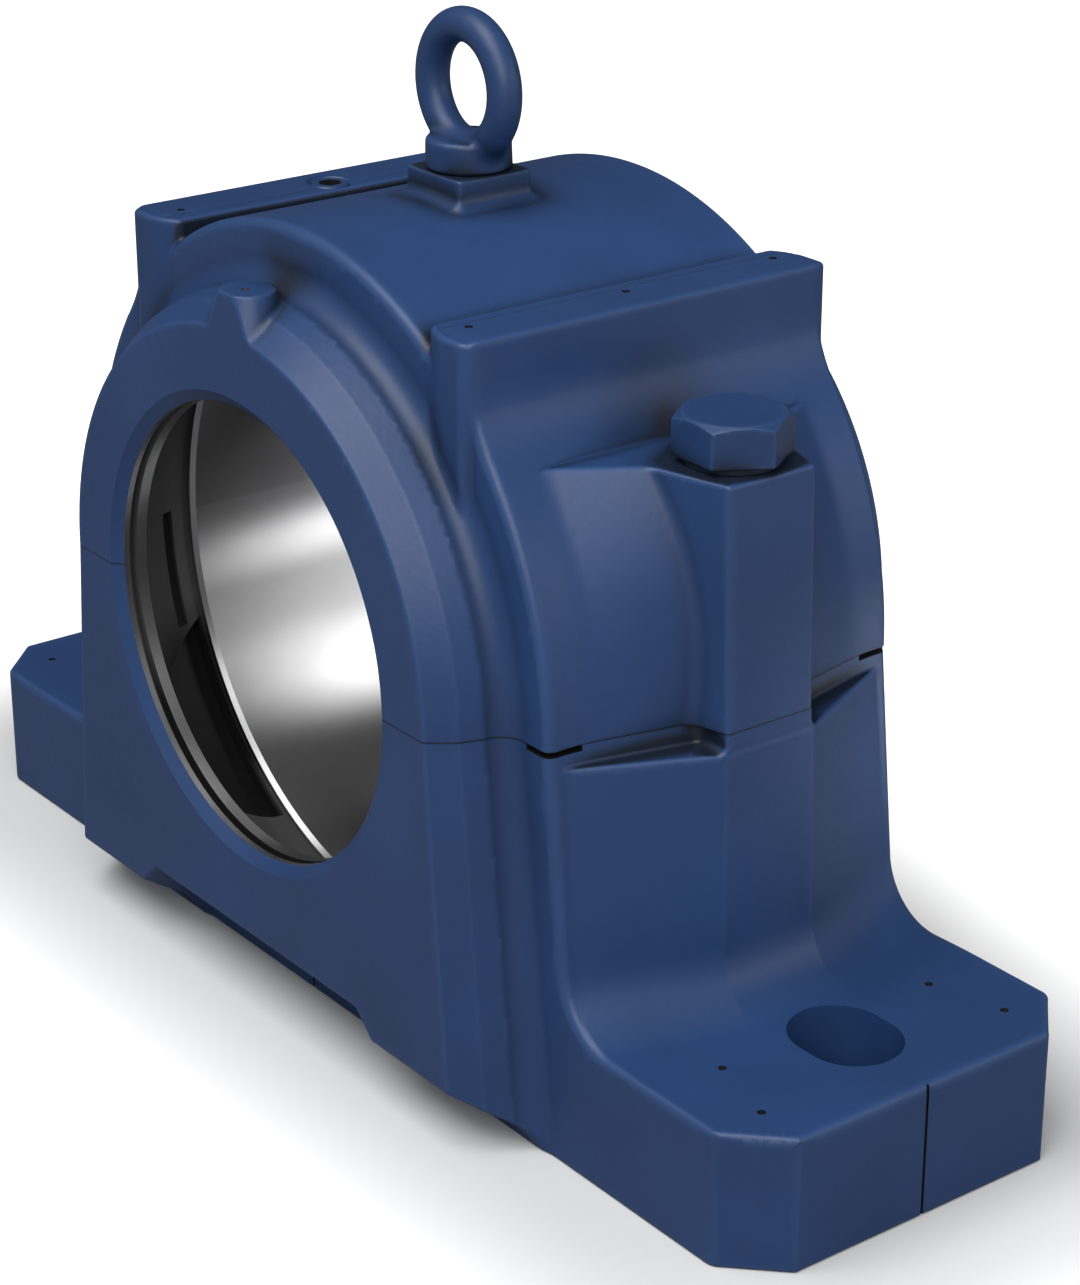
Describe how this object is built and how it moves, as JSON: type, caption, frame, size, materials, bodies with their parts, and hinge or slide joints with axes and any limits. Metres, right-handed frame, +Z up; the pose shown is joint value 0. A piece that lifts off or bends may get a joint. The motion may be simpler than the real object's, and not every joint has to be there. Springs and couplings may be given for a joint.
{
  "type": "split plummer block housing",
  "caption": "Split cast housing for a pillow block bearing: slotted base, bolted cap with lifting eye, round bearing seat and through shaft openings.",
  "frame": {"origin": "middle of the base's flat underside, under the crossing of the shaft axis and the housing's middle plane", "axes": "+X along the feet, towards the right foot seen from the front; +Y along the shaft axis, away from the front; +Z up"},
  "size_m": [0.5, 0.204, 0.3597],
  "materials": {
    "cast_paint": "satin",
    "painted_steel": "satin",
    "bare_steel": "satin"
  },
  "bodies": {
    "root": {"housing_base": "cast_paint", "housing_cap": "cast_paint", "cap_bolt_right": "painted_steel", "cap_bolt_left": "painted_steel", "eye_bolt": "painted_steel", "lube_plug": "painted_steel", "dowel_right": "bare_steel", "dowel_left": "bare_steel"}
  },
  "joints": []
}
